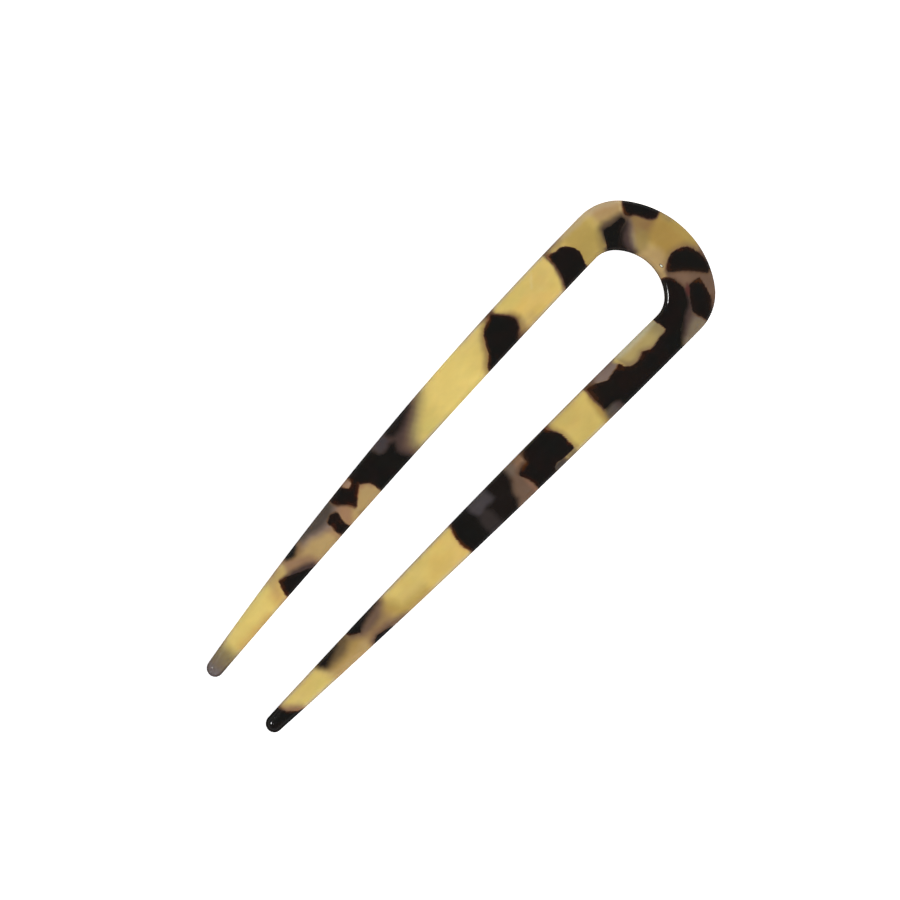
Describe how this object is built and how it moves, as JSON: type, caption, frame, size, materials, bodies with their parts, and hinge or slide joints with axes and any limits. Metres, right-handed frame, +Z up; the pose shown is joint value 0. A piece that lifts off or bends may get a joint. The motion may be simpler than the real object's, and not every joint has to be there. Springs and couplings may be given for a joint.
{
  "type": "hairpin",
  "caption": "Flat U-shaped hairpin of mottled acetate, with tapered legs, round tips and a broad rounded bend.",
  "frame": {"origin": "middle of the pin's bounding box, on the surface that the pin lies on", "axes": "+Y from the tips towards the bend, +Z up through the sheet, +X towards the right leg seen from above"},
  "size_m": [0.0332, 0.13, 0.0042],
  "materials": {
    "acetate": "polished honey acetate with black and brown tortoiseshell chips"
  },
  "bodies": {
    "root": {"pin": "acetate"}
  },
  "joints": []
}
